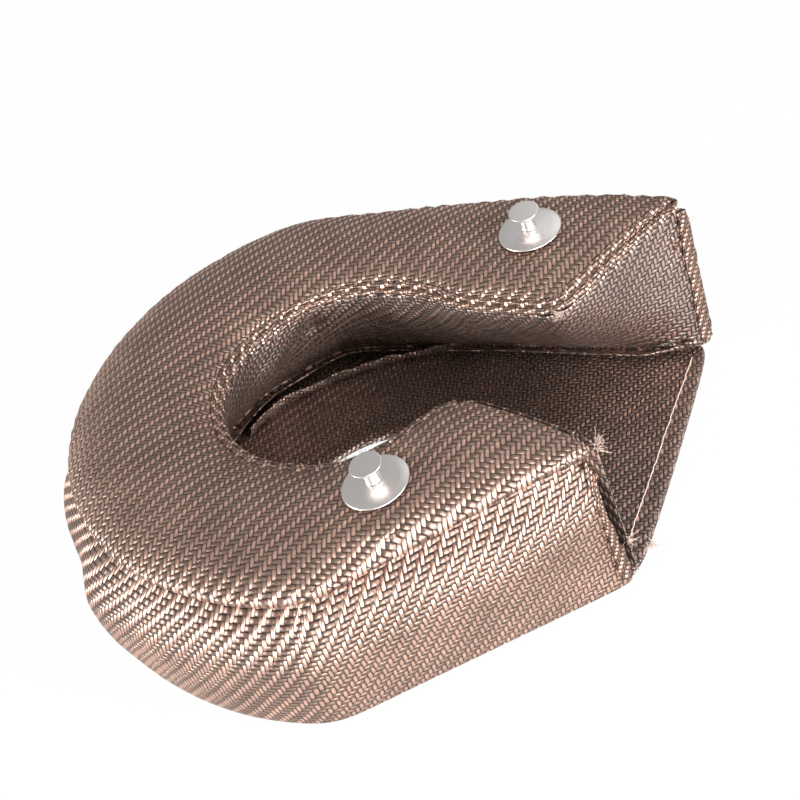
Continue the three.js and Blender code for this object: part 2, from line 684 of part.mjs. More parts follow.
// The shanks pass through the mat, and the lock washers sit in pockets under it
const lockDepth = ({ centre }) => centre.z - MAT_BASE;
const pocket = (low, high, anchor) => plug(LOCK_WASHER.outer / 2 + GAP, low, high, anchor);
const matCuts = Object.values(anchors).flatMap((anchor) => [
  plug(SHANK / 2 + GAP, -2 * lockDepth(anchor), lockDepth(anchor), anchor),
  pocket(-2 * lockDepth(anchor), GAP - lockDepth(anchor), anchor),
]);
const packingCuts = Object.values(anchors).map(
  (anchor) => pocket(-lockDepth(anchor) - POCKET_DEPTH, 0, anchor));
add('felt_mat', cut(loft(matGrid), matCuts), FELT);
add('side_packing', cut(loft(packingGrid), packingCuts), FELT);

// Lacing anchors: a dished washer, a post with a flared head and, under the felt, a lock washer
function anchorParts(name, anchor) {
  const shank = SHANK / 2;
  const bore = shank + GAP;
  const stem = POST.stem / 2;

  const { sheet: plate, dish, rimWidth, edge } = ANCHOR;
  const washer = ANCHOR.washer / 2;
  const seat = CLOTH / 2 + GAP;
  const slope = seat + dish / 2;
  const washerTop = seat + dish + plate;
  add(`${name}_washer`, turned([
    [bore, seat + dish], [washer - rimWidth, slope], [washer - 2 * edge, seat + edge / 3],
    [washer, seat + edge], [washer - edge, seat + plate], [washer - rimWidth, slope + plate],
    [stem, washerTop], [bore, washerTop], [bore, seat + dish],
  ], anchor), STEEL);

  const { headRim, headEdge, collar, collarHeight, flare, flareWidth } = POST;
  const head = POST.head / 2;
  const foot = washerTop + GAP / 2;
  const top = foot + POST.height;
  const lock = lockDepth(anchor);
  const end = -lock - LOCK_WASHER.sheet - SHANK_END;
  add(`${name}_post`, turned([
    [0, end], [shank / 2, end], [shank, end + shank / 2], [shank, foot],
    [stem + collar, foot], [stem + collar, foot + collarHeight - collar], [stem, foot + collarHeight],
    [stem, top - headRim - flare], [stem + flareWidth, top - headRim - flare / 2],
    [head - headRim / 2, top - headRim], [head, top - headRim / 2], [head, top - headEdge],
    [head - headEdge, top], [0, top],
  ], anchor), STEEL);

  const { sheet: blank, edge: corner } = LOCK_WASHER;
  const outer = LOCK_WASHER.outer / 2;
  const inner = shank + GAP / 2;
  add(`${name}_lock_washer`, turned([
    [inner, -lock - blank], [outer - corner, -lock - blank], [outer, -lock - blank / 2],
    [outer - corner, -lock], [inner, -lock], [inner, -lock - blank],
  ], anchor), STEEL);
}
for (const [name, anchor] of Object.entries(anchors)) anchorParts(name, anchor);

// Origin under the middle of the outer box
const outerBox = new THREE.Box3().setFromObject(parts);
const middle = outerBox.getCenter(vec(0, 0));
parts.position.set(-middle.x, -middle.y, 0);

export default parts;
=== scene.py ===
# %% [markdown]
# # A turbo heat blanket
#
# The object is a C-shaped pouch of woven basalt cloth with felt inside. It is laced round the hot
# half of a turbine housing. Its cloth is sewn from four pieces: a top panel, a side wall, a lining
# and a floor panel. Two stainless lacing anchors stand on the top panel.
#
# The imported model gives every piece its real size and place, so this script starts from it.

import json
import math
import random

import bmesh
import bpy
import numpy as np
from mathutils import Matrix, Vector, kdtree, noise


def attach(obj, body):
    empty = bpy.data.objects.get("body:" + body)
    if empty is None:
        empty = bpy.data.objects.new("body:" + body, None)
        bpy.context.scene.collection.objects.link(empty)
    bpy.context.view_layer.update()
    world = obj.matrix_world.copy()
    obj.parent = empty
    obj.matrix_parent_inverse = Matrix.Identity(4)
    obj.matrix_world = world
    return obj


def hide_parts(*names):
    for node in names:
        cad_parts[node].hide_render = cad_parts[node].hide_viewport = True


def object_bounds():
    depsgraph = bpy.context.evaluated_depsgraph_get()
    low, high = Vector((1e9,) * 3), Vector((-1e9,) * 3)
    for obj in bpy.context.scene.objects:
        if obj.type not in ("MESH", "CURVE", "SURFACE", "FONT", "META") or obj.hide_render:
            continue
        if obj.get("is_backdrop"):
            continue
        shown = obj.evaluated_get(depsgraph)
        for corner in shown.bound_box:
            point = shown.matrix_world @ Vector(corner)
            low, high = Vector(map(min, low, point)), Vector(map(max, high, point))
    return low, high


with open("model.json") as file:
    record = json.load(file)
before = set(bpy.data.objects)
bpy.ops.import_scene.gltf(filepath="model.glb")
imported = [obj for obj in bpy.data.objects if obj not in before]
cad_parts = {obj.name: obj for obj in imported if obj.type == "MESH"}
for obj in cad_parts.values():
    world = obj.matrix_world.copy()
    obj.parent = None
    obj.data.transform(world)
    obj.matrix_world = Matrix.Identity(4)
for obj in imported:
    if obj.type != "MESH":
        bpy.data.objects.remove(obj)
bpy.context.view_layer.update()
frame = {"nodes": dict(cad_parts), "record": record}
nodes = frame["nodes"]
MM = 0.001

# %% [markdown]
# The floor opening is round and its box in the record is centred on the opening's axis. Places on
# the cloth are easier to name from that axis than from the middle of the outer box.

# %% Axis of the round openings
openings = {opening["name"]: opening["box_m"] for opening in frame["record"]["physics"]["openings"]}
floor_low, floor_high = (Vector(corner) for corner in openings["floor_opening"])
AXIS = (floor_low + floor_high) / 2
AXIS.z = 0


def place(x, y, z=0.0):
    """A point in millimetres from the axis of the openings, as a place in the scene."""
    return AXIS + Vector((x, y, z)) * MM


print("axis of the openings, mm:", [round(value / MM, 1) for value in AXIS])

# %% [markdown]
# The photograph looks down on the blanket at 38 degrees with a long lens, and the picture is
# turned by 18 degrees. A camera is a point, a direction and a roll, so the three columns of its
# matrix are worked out from those angles.

# %% Camera
AZIMUTH = math.radians(18.7)
ELEVATION = math.radians(38.0)
ROLL = math.radians(-18.4)
DISTANCE = 788.4 * MM
LENS = 90.0
TARGET = place(7.84, 23.35, 31.92)

back = Vector((math.sin(AZIMUTH) * math.cos(ELEVATION), -math.cos(AZIMUTH) * math.cos(ELEVATION),
               math.sin(ELEVATION)))
level = Vector((math.cos(AZIMUTH), math.sin(AZIMUTH), 0))
upright = back.cross(level)
right = level * math.cos(ROLL) + upright * math.sin(ROLL)
up = upright * math.cos(ROLL) - level * math.sin(ROLL)
camera_data = bpy.data.cameras.new("camera")
camera_data.lens = LENS
camera = bpy.data.objects.new("camera", camera_data)
turned = Matrix((right, up, back)).transposed().to_4x4()
camera.matrix_world = Matrix.Translation(TARGET + back * DISTANCE) @ turned
bpy.context.scene.collection.objects.link(camera)
bpy.context.scene.camera = camera
bpy.context.scene.view_settings.view_transform = "Standard"
print("camera at, mm:", [round(value / MM) for value in camera.matrix_world.translation])

# %% [markdown]
# Every material is a small graph of nodes. One function adds a node: it sets the node's own
# settings by name, and each input either gets a value or is joined to another node's output.

# %% Helpers for materials


def to_linear(code, alpha=1.0):
    """An sRGB hex colour as the linear values that a shader takes."""
    values = [int(code[i:i + 2], 16) / 255 for i in (1, 3, 5)]
    return [v / 12.92 if v <= 0.04045 else ((v + 0.055) / 1.055) ** 2.4 for v in values] + [alpha]


def add_node(tree, kind, inputs=None, output=0, **settings):
    """Adds a node and gives back one of its outputs."""
    node = tree.nodes.new(kind)
    for name, value in settings.items():
        setattr(node, name, value)
    for socket, value in (inputs or {}).items():
        if isinstance(value, bpy.types.NodeSocket):
            tree.links.new(value, node.inputs[socket])
        else:
            node.inputs[socket].default_value = value
    return node.outputs[output] if len(node.outputs) else None


def new_material(name):
    material = bpy.data.materials.new(name)
    material.use_nodes = True
    material.node_tree.nodes.clear()
    return material, material.node_tree


# %% [markdown]
# ## The woven cloth
#
# Basalt cloth for exhaust jackets is a 2/2 twill: each yarn passes over two and under two, and the
# step moves by one from yarn to yarn, which makes the diagonal ribs. A yarn is a flat bundle of
# thousands of glassy fibres. It mirrors light only across its fibres, so yarns that lie one way
# shine cream while those that cross them stay dark brown, and this swaps as the cloth turns.
#
# A UV map in real millimetres carries the pattern, because the yarns follow each cut piece round
# its folds. The twill itself is arithmetic on that map: which yarn is on top, how far across it
# the point lies, and how far along its float.

# %% Twill material
TOW_PITCH = 1.7
TOW_HEIGHT = 0.6
TOW_ROUNDNESS = 0.6
FLOAT_BOW = 0.55
TOW_WANDER = 1.1
FIBRES_ACROSS = 9.0
FIBRE_RELIEF = 0.16
# Weft painted darker and warp painted lighter: painted shade and painted light on the two sets of yarns
WEFT_PAINTED_SHADE = 0.55
WARP_PAINTED_LIGHT = 1.2
MIRROR_ROUGHNESS = 0.36
MIRROR_SPREAD = -0.45
CLOTH_MAP = "cloth_mm"


def twill_material(name, yarn, gap, highlight, shine):
    """2/2 twill of glassy yarn: its colour, the painted shade in the gaps between yarns, that of mirrored
    light and how much is mirrored.
    """
    material, tree = new_material(name)
    uv = add_node(tree, "ShaderNodeUVMap", uv_map=CLOTH_MAP)
    drift = add_node(tree, "ShaderNodeTexNoise", {"Vector": uv, "Scale": 0.09, "Detail": 2.0}, 1)
    drift = add_node(tree, "ShaderNodeVectorMath", {0: drift, 1: (0.5, 0.5, 0.5)}, operation="SUBTRACT")
    moved = add_node(tree, "ShaderNodeVectorMath", {0: drift, 1: (TOW_WANDER, TOW_WANDER, 0), 2: uv},
                     operation="MULTIPLY_ADD")
    counted = add_node(tree, "ShaderNodeVectorMath", {0: moved, "Scale": 1 / TOW_PITCH}, operation="SCALE")
    split = add_node(tree, "ShaderNodeSeparateXYZ", {0: counted}).node
    a, b = split.outputs[0], split.outputs[1]
    column = add_node(tree, "ShaderNodeMath", {0: a}, operation="FLOOR")
    row = add_node(tree, "ShaderNodeMath", {0: b}, operation="FLOOR")

    warp_phase = add_node(tree, "ShaderNodeMath", {0: b, 1: column}, operation="SUBTRACT")
    warp_phase = add_node(tree, "ShaderNodeMath", {0: warp_phase, 1: 4.0}, operation="FLOORED_MODULO")
    weft_phase = add_node(tree, "ShaderNodeMath", {0: a, 1: row}, operation="SUBTRACT")
    weft_phase = add_node(tree, "ShaderNodeMath", {0: weft_phase, 1: 4.0}, operation="FLOORED_MODULO")
    weft_phase = add_node(tree, "ShaderNodeMath", {0: weft_phase, 1: 1.0}, operation="SUBTRACT")
    warp_on = add_node(tree, "ShaderNodeMath", {0: warp_phase, 1: 2.0}, operation="LESS_THAN")
    along = add_node(tree, "ShaderNodeMix", {0: warp_on, 2: weft_phase, 3: warp_phase})
    across_weft = add_node(tree, "ShaderNodeMath", {0: b}, operation="FRACT")
    across_warp = add_node(tree, "ShaderNodeMath", {0: a}, operation="FRACT")
    across = add_node(tree, "ShaderNodeMix", {0: warp_on, 2: across_weft, 3: across_warp})

    side = add_node(tree, "ShaderNodeMath", {0: across, 1: 2.0, 2: -1.0}, operation="MULTIPLY_ADD")
    side = add_node(tree, "ShaderNodeMath", {0: side, 1: side}, operation="MULTIPLY")
    round_top = add_node(tree, "ShaderNodeMath", {0: 1.0, 1: side}, operation="SUBTRACT")
    round_top = add_node(tree, "ShaderNodeMath", {0: round_top, 1: TOW_ROUNDNESS}, operation="POWER")
    bow = add_node(tree, "ShaderNodeMath", {0: along, 1: math.pi / 2}, operation="MULTIPLY")
    bow = add_node(tree, "ShaderNodeMath", {0: bow}, operation="SINE")
    bow = add_node(tree, "ShaderNodeMath", {0: bow, 1: FLOAT_BOW, 2: 1 - FLOAT_BOW}, operation="MULTIPLY_ADD")
    height = add_node(tree, "ShaderNodeMath", {0: round_top, 1: bow}, operation="MULTIPLY")

    # Fibres run along the yarn: fine noise across it, stretched along it
    fibre_across = add_node(tree, "ShaderNodeMath", {0: across, 1: FIBRES_ACROSS}, operation="MULTIPLY")
    fibre_place = add_node(tree, "ShaderNodeCombineXYZ", {0: fibre_across, 1: along, 2: column})
    fibres = add_node(tree, "ShaderNodeTexNoise", {"Vector": fibre_place, "Scale": 1.3, "Detail": 2.0})
    relief = add_node(tree, "ShaderNodeMath", {0: fibres, 1: FIBRE_RELIEF, 2: height},
                      operation="MULTIPLY_ADD")
    bump = add_node(tree, "ShaderNodeBump", {"Height": relief, "Distance": TOW_HEIGHT * MM, "Strength": 1.0})

    # Each yarn has its own shade and the whole cloth varies slowly; the weft is painted darker and the warp
    # lighter, painted shade and painted light for the mirroring that favours one set of yarns
    warp_shade = add_node(tree, "ShaderNodeTexWhiteNoise", {"W": column}, noise_dimensions="1D")
    weft_shade = add_node(tree, "ShaderNodeTexWhiteNoise", {"W": row}, noise_dimensions="1D")
    own_shade = add_node(tree, "ShaderNodeMix", {0: warp_on, 2: weft_shade, 3: warp_shade})
    slow = add_node(tree, "ShaderNodeTexNoise", {"Vector": uv, "Scale": 0.045, "Detail": 3.0})
    yarn_tone_and_painted_light = add_node(tree, "ShaderNodeMath", {0: own_shade, 1: 0.25, 2: slow}, operation="MULTIPLY_ADD")
    yarn_tone_and_painted_light = add_node(tree, "ShaderNodeMapRange", {0: yarn_tone_and_painted_light, 1: 0.3, 2: 0.95, 3: 0.72, 4: 1.22})
    painted_yarn_light = add_node(tree, "ShaderNodeMapRange", {0: warp_on, 3: WEFT_PAINTED_SHADE, 4: WARP_PAINTED_LIGHT})
    yarn_tone_and_painted_light = add_node(tree, "ShaderNodeMath", {0: yarn_tone_and_painted_light, 1: painted_yarn_light}, operation="MULTIPLY")
    # Low places between the yarns take the gap colour: painted shade where the yarns meet, and they mirror
    # less light there
    body = add_node(tree, "ShaderNodeMapRange", {0: height, 1: 0.25, 2: 0.8, 3: 0.0, 4: 1.0})
    colour = add_node(tree, "ShaderNodeMix", {0: body, 6: to_linear(gap), 7: to_linear(yarn)}, 2,
                      data_type="RGBA")
    colour = add_node(tree, "ShaderNodeVectorMath", {0: colour, "Scale": yarn_tone_and_painted_light}, operation="SCALE")

    # The tangent points across the fibres, and turns by a quarter for the yarns that cross
    turn = add_node(tree, "ShaderNodeMath", {0: 1.0, 1: warp_on}, operation="SUBTRACT")
    turn = add_node(tree, "ShaderNodeMath", {0: turn, 1: 0.25}, operation="MULTIPLY")
    tangent = add_node(tree, "ShaderNodeTangent", direction_type="UV_MAP", uv_map=CLOTH_MAP)
    body_shader = add_node(tree, "ShaderNodeBsdfPrincipled", {
        "Base Color": colour, "Roughness": 0.6, "IOR": 1.5, "Normal": bump})
    # The mirrored colour carries the same painted light and shade of the two yarn sets
    mirror_colour = add_node(tree, "ShaderNodeVectorMath", {0: to_linear(highlight)[:3], "Scale": yarn_tone_and_painted_light},
                             operation="SCALE")
    mirror = add_node(tree, "ShaderNodeBsdfAnisotropic", {
        "Color": mirror_colour, "Roughness": MIRROR_ROUGHNESS, "Anisotropy": MIRROR_SPREAD, "Rotation": turn,
        "Tangent": tangent, "Normal": bump})
    amount = add_node(tree, "ShaderNodeMath", {0: body, 1: shine}, operation="MULTIPLY")
    shader = add_node(tree, "ShaderNodeMixShader", {0: amount, 1: body_shader, 2: mirror})
    add_node(tree, "ShaderNodeOutputMaterial", {"Surface": shader})
    return material


# The second colour of each twill is the painted shade in the gaps between its yarns
outer_twill = twill_material("basalt_twill_woven_outer", "#704c3b", "#1f130f", "#ffdbc8", 0.55)
# The lining is the same cloth as the outside in a darker copy: painted shade for the inside of the pouch
shaded_lining_twill = twill_material("basalt_twill_lining_painted_shade", "#4a352b", "#120b09", "#ffe2d4", 0.55)
print("twill of", TOW_PITCH, "mm yarns")

# %% [markdown]
# ## Felt, thread, loose fibre and steel
#
# The padding is needled silica felt: matt, off-white, with a fine tangled surface. The seams are
# sewn with coated glass thread, which is cream and slightly shiny. Yarns fray where the cloth was
# cut, and the loose fibres are lighter than the yarn because they catch light from all sides.
# The anchors are turned from stainless steel and tumbled, which leaves a bright satin.

# %% Felt, thread and fibre materials
FELT_CLUMP = 1.6


def felt_material(name, light, dark):
    material, tree = new_material(name)
    where = add_node(tree, "ShaderNodeTexCoord", output=3)
    clumps = add_node(tree, "ShaderNodeTexNoise", {
        "Vector": where, "Scale": 1 / (FELT_CLUMP * MM), "Detail": 6.0, "Roughness": 0.7, "Distortion": 1.5})
    colour = add_node(tree, "ShaderNodeMix", {0: clumps, 6: to_linear(dark), 7: to_linear(light)}, 2,
                      data_type="RGBA")
    bump = add_node(tree, "ShaderNodeBump", {"Height": clumps, "Distance": 0.5 * MM})
    shader = add_node(tree, "ShaderNodeBsdfPrincipled", {
        "Base Color": colour, "Roughness": 0.95, "Sheen Weight": 0.3, "Normal": bump})
    add_node(tree, "ShaderNodeOutputMaterial", {"Surface": shader})
    return material


def thread_material(name, light, dark, twist, roughness):
    """Twisted or loose fibre: fine noise in colour and relief, a soft shine."""
    material, tree = new_material(name)
    where = add_node(tree, "ShaderNodeTexCoord", output=3)
    strands = add_node(tree, "ShaderNodeTexNoise", {
        "Vector": where, "Scale": 1 / (twist * MM), "Detail": 2.0, "Distortion": 2.0})
    colour = add_node(tree, "ShaderNodeMix", {0: strands, 6: to_linear(dark), 7: to_linear(light)}, 2,
                      data_type="RGBA")
    bump = add_node(tree, "ShaderNodeBump", {"Height": strands, "Distance": 0.08 * MM})
    shader = add_node(tree, "ShaderNodeBsdfPrincipled", {
        "Base Color": colour, "Roughness": roughness, "Normal": bump, "Sheen Weight": 0.25})
    add_node(tree, "ShaderNodeOutputMaterial", {"Surface": shader})
    return material


silica_felt = felt_material("silica_felt_needled", "#e2ddd2", "#aaa294")
pale_thread = thread_material("glass_thread_twisted", "#f6e7dc", "#c9a995", 0.5, 0.45)
dark_thread = thread_material("glass_thread_soiled", "#8d7567", "#33251f", 0.5, 0.5)
loose_fibre = thread_material("basalt_fibre_frayed", "#f4dccd", "#8c6d5d", 1.2, 0.5)
print("felt clumps", FELT_CLUMP, "mm")

# %% [markdown]
# Satin steel keeps a metal's own colour and default IOR. Tumbling leaves shallow random marks, so
# the roughness and a very fine relief vary with a small noise.

# %% Stainless steel material
TUMBLE_MARK = 0.9


def steel_material(name, colour, roughness):
    material, tree = new_material(name)
    where = add_node(tree, "ShaderNodeTexCoord", output=3)
    marks = add_node(tree, "ShaderNodeTexNoise", {
        "Vector": where, "Scale": 1 / (TUMBLE_MARK * MM), "Detail": 4.0, "Roughness": 0.6})
    rough = add_node(tree, "ShaderNodeMapRange", {0: marks, 3: roughness - 0.06, 4: roughness + 0.08})
    tone = add_node(tree, "ShaderNodeMapRange", {0: marks, 3: 0.93, 4: 1.0})
    tinted = add_node(tree, "ShaderNodeVectorMath", {0: to_linear(colour)[:3], "Scale": tone},
                      operation="SCALE")
    bump = add_node(tree, "ShaderNodeBump", {"Height": marks, "Distance": 0.015 * MM})
    shader = add_node(tree, "ShaderNodeBsdfPrincipled", {
        "Base Color": tinted, "Metallic": 1.0, "Roughness": rough, "Normal": bump})
    add_node(tree, "ShaderNodeOutputMaterial", {"Surface": shader})
    return material


stainless = steel_material("stainless_steel_tumbled", "#f0ebe8", 0.36)
print("steel marks", TUMBLE_MARK, "mm")

# %% [markdown]
# ## Cloth from the model's own solids
#
# Each cloth piece in the model is a thin closed solid with few faces. A copy of it is merged, its
# triangles are paired back into the quads of its grid, and a subdivision surface rounds the lip,
# the folded edges and the belly between the seams. The finer folds are then pushed in by moving
# vertices, which both sides of the cloth follow together.

# %% Helpers for cloth
SUBDIVISIONS = 2


def paired_copy(node):
    """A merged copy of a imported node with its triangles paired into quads."""
    shape = bmesh.new()
    shape.from_mesh(nodes[node].data)
    bmesh.ops.remove_doubles(shape, verts=shape.verts, dist=0.002 * MM)
    bmesh.ops.join_triangles(shape, faces=shape.faces, angle_face_threshold=math.radians(60),
                             angle_shape_threshold=math.radians(100))
    return shape


def subdivided(shape, levels):
    """The same shape with a subdivision surface applied."""
    mesh = bpy.data.meshes.new("draft")
    shape.to_mesh(mesh)
    shape.free()
    draft = bpy.data.objects.new("draft", mesh)
    bpy.context.scene.collection.objects.link(draft)
    surface = draft.modifiers.new("surface", "SUBSURF")
    surface.levels = levels
    surface.render_levels = levels
    depsgraph = bpy.context.evaluated_depsgraph_get()
    result = bmesh.new()
    result.from_mesh(bpy.data.meshes.new_from_object(draft.evaluated_get(depsgraph)))
    bpy.data.objects.remove(draft)
    return result


def finish_piece(name, shape, material, node=None):
    """Makes the object, lets it ride on the body and stand for its node."""
    mesh = bpy.data.meshes.new(name)
    shape.to_mesh(mesh)
    shape.free()
    mesh.materials.clear()
    mesh.materials.append(material)
    mesh.shade_smooth()
    piece = bpy.data.objects.new(name, mesh)
    bpy.context.scene.collection.objects.link(piece)
    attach(piece, "root")
    if node:
        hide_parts(node)
    print(name, "has", sum(len(face.vertices) - 2 for face in mesh.polygons), "triangles")
    return piece


def positions(shape):
    return np.array([vertex.co for vertex in shape.verts])


def move_verts(shape, offsets):
    """Moves each vertex by its row of offsets."""
    for vertex, offset in zip(shape.verts, offsets):
        vertex.co += Vector(offset)


# %% [markdown]
# The yarns of the side wall and the lining follow a line in plan: the outline of the jacket for
# the wall, and the rim of the opening for the lining. Both are a few corners joined by an arc. A
# function gives, for every vertex, how far along such a line it lies and how far from it.

# %% Guide lines of the wall and the lining
ARC_STEP = 4


def arc_points(radius, start, end):
    count = int(abs(end - start) / ARC_STEP)
    angles = [math.radians(start + (end - start) * k / count) for k in range(count + 1)]
    return [place(radius * math.cos(angle), radius * math.sin(angle)) for angle in angles]


OUTLINE = [place(99.5, -57.5)] + arc_points(115, -93, -251.3) + [place(124.5, 76.5)]
RIM = ([place(96, -58.5), place(50, -32)] + arc_points(51, -43, -313) + [place(78, 28), place(124.4, 74)])


def along_line(points, line):
    """Distance along a line in plan, and distance from it, for each row of points."""
    corners = np.array([[p.x, p.y] for p in line])
    start, step = corners[:-1], np.diff(corners, axis=0)
    lengths = np.linalg.norm(step, axis=1)
    before = np.concatenate([[0], np.cumsum(lengths)[:-1]])
    plan = points[:, None, :2]
    share = ((plan - start) * step).sum(2) / lengths ** 2
    first, last = np.zeros(len(step), bool), np.zeros(len(step), bool)
    first[0], last[-1] = True, True
    share = np.where(first, np.minimum(share, 1), np.where(last, np.maximum(share, 0), np.clip(share, 0, 1)))
    gap = np.linalg.norm(start + share[..., None] * step - plan, axis=2)
    nearest = gap.argmin(1)
    rows = np.arange(len(points))
    return before[nearest] + share[rows, nearest] * lengths[nearest], gap[rows, nearest]


def lay_out(shape, flat):
    """Writes the cloth map, in millimetres, from one flat place for each vertex."""
    layer = shape.loops.layers.uv.new(CLOTH_MAP)
    shape.verts.index_update()
    for face in shape.faces:
        for loop in face.loops:
            loop[layer].uv = flat[loop.vert.index]


def panel_layout(shape):
    """Flat places of a level panel: seen from above, with its turned-down edges unrolled outwards."""
    shape.normal_update()
    tree = kdtree.KDTree(len(shape.verts))
    tops = {}
    for index, vertex in enumerate(shape.verts):
        if vertex.normal.z > 0.8:
            tree.insert((vertex.co.x, vertex.co.y, 0), index)
        tops[index] = vertex.co.z
    tree.balance()
    flat = []
    for vertex in shape.verts:
        _, index, _ = tree.find((vertex.co.x, vertex.co.y, 0))
        drop = max(tops[index] - vertex.co.z, 0)
        outward = Vector((vertex.normal.x, vertex.normal.y))
        outward = outward.normalized() if vertex.normal.z < 0.8 and outward.length > 0.3 else Vector((0, 0))
        flat.append((Vector(vertex.co[:2]) + outward * drop) / MM)
    return flat


print("outline", len(OUTLINE), "points, rim", len(RIM), "points")

# %% [markdown]
# ## Top panel
#
# The panel is stuffed firmly, so its upper side is one smooth crown with faint waves where the
# felt is uneven. Along the lip the seam gathers the cloth into small scallops, a few millimetres
# apart, and it is these that pick up the row of bright dots along the edge.

# %% Top panel
WAVE = 0.5
WAVE_LENGTH = 34
SCALLOP = 0.3
LIP_REACH = 3.0
LIP_WIDTH = 7
LIP_SCALLOP = 0.5
LIP_SCALLOP_WIDTH = 6
TUCK = 6.0
TUCK_FROM = 44
TUCK_HEIGHT = 13
SCALLOP_LENGTH = 8.5


def waves(points, length, seed):
    """Smooth random waves of about this length in millimetres, one value for each point."""
    shift = Vector((seed * 7.3, seed * 3.1, seed * 5.7))
    return np.array([noise.noise(Vector(p) / (length * MM) + shift) for p in points])


def outward_from(points):
    """Level direction away from the axis, on the arms turned towards the nearer outline."""
    away = points[:, :2] - np.array([AXIS.x, AXIS.y])
    away[:, 0] = np.minimum(away[:, 0], 0)
    return away / np.linalg.norm(away, axis=1)[:, None]


def tucked(points, beyond):
    """How far the wall's upper seam draws in under the lip, in millimetres."""
    high = np.clip((points[:, 2] / MM - TUCK_FROM) / TUCK_HEIGHT, 0, 1)
    return TUCK * high ** 2 * (3 - 2 * high) * np.clip(2 - beyond / (9 * MM), 0, 1)


top = subdivided(paired_copy("top_panel"), SUBDIVISIONS)
points = positions(top)
along, beyond = along_line(points, OUTLINE)
reach = LIP_REACH * np.clip(1 - beyond / (LIP_WIDTH * MM), 0, 1)
scallops = np.sin(2 * math.pi * along / (SCALLOP_LENGTH * MM))
reach += LIP_SCALLOP * np.clip(1 - beyond / (LIP_SCALLOP_WIDTH * MM), 0, 1) * scallops
move_verts(top, np.column_stack([outward_from(points) * (reach * MM)[:, None], np.zeros(len(points))]))
lift = WAVE * waves(points, WAVE_LENGTH, 1) + 0.25 * waves(points, 11, 2)
near_lip = np.clip(1 - beyond / (9 * MM), 0, 1)
lift += SCALLOP * near_lip * np.sin(2 * math.pi * along / (SCALLOP_LENGTH * MM) + 3 * waves(points, 30, 3))
move_verts(top, np.outer(lift * MM, (0, 0, 1)))
lay_out(top, panel_layout(top))
top_panel = finish_piece("top_panel_cloth", top, outer_twill, "top_panel")

# %% [markdown]
# ## Side wall
#
# The wall is a band that is longer at its middle than its two seams allow, so it bellies out and
# falls into slack folds round the closed end. Two of them pinch against each other at the far
# left of the photograph. The folds die out at both seams, and the upper seam is tucked in under the lip.

# %% Side wall
FOLDS = [
    (-118, 13, 8.0, -5.5, 44),
    (-116, 28, 12.0, 4.0, 46),
    (-118, -4, 13.0, 3.5, 42),
    (-104, -48, 22.0, -1.6, 30),
    (-70, 92, 14.0, -3.0, 42),
    (-88, 72, 12.0, 2.4, 40),
    (0, 116, 16.0, -2.2, 36),
]
WALL_TOP = 62
BELLY = 2.5
BELLY_AT = 36
BELLY_HEIGHT = 11


wall = subdivided(paired_copy("side_wall"), SUBDIVISIONS)
points = positions(wall)
along, beyond = along_line(points, OUTLINE)
height = np.clip(points[:, 2] / (WALL_TOP * MM), 0, 1)
belly = np.sin(math.pi * height)
push = belly * (1.1 * waves(points * (1, 1, 0.4), 22, 4) + 0.5 * waves(points * (1, 1, 0.6), 9, 5))
for x, y, width, depth, fold_height in FOLDS:
    centre = place(x, y, fold_height)
    offset = (points - np.array(centre)) / MM
    run = np.hypot(offset[:, 0], offset[:, 1])
    push += depth * np.exp(-(run / width) ** 2) * np.exp(-(offset[:, 2] / 20) ** 2)
push += BELLY * np.exp(-((points[:, 2] / MM - BELLY_AT) / BELLY_HEIGHT) ** 2) - tucked(points, beyond)
outward = outward_from(points)
move_verts(wall, np.column_stack([outward * (push * MM)[:, None], np.zeros(len(points))]))
lay_out(wall, list(zip(-along / MM, points[:, 2] / MM)))
side_wall = finish_piece("side_wall_cloth", wall, outer_twill, "side_wall")

# %% [markdown]
# ## Lining
#
# The lining is a cone-like band from the rim of the opening down to a seam on the floor panel. It
# is sewn slack, so it bags between the rim and the floor and creases upright where it is gathered.

# %% Lining
LINING_CREASES = [
    (-26, 49, 5.0, -4.0),
    (-44, 36, 9.0, 2.2),
    (6, 54, 12.0, 2.5),
    (38, 44, 7.0, -2.0),
]
lining = subdivided(paired_copy("inner_lining"), SUBDIVISIONS)
points = positions(lining)
along, beyond = along_line(points, RIM)
hem_height = points[:, 2].max()
drop = np.hypot(beyond, np.maximum(hem_height - points[:, 2], 0))
slack = np.clip((drop / MM - 4) / 14, 0, 1) * np.clip(points[:, 2] / MM / 18, 0, 1)
push = slack * (1.4 * waves(points * (1, 1, 0.5), 16, 6) + 0.6 * waves(points, 7, 7))
for x, y, width, depth in LINING_CREASES:
    offset = (points[:, :2] - np.array(place(x, y))[:2]) / MM
    push += slack * depth * np.exp(-(np.hypot(offset[:, 0], offset[:, 1]) / width) ** 2)
inward = -outward_from(points)
move_verts(lining, np.column_stack([inward * (push * MM)[:, None], np.zeros(len(points))]))
lay_out(lining, list(zip(along / MM, -drop / MM)))
lining_piece = finish_piece("inner_lining_cloth", lining, shaded_lining_twill, "inner_lining")

# %% [markdown]
# ## Floor panel
#
# Two plies of the same cloth make the floor. It lies flat, with a hem round its opening and across
# the mouth, and its yarns run the same way as those of the top panel.

# %% Floor panel
floor_cloth = subdivided(paired_copy("bottom_panel"), SUBDIVISIONS)
points = positions(floor_cloth)
inner_side = np.clip(points[:, 2] / MM - 1.5, 0, 1)
lift = inner_side * (0.35 * waves(points, 24, 8) + 0.2 * waves(points, 9, 9))
move_verts(floor_cloth, np.outer(np.minimum(lift, 0.3) * MM, (0, 0, 1)))
lay_out(floor_cloth, panel_layout(floor_cloth))
floor_panel = finish_piece("floor_panel_cloth", floor_cloth, shaded_lining_twill, "bottom_panel")

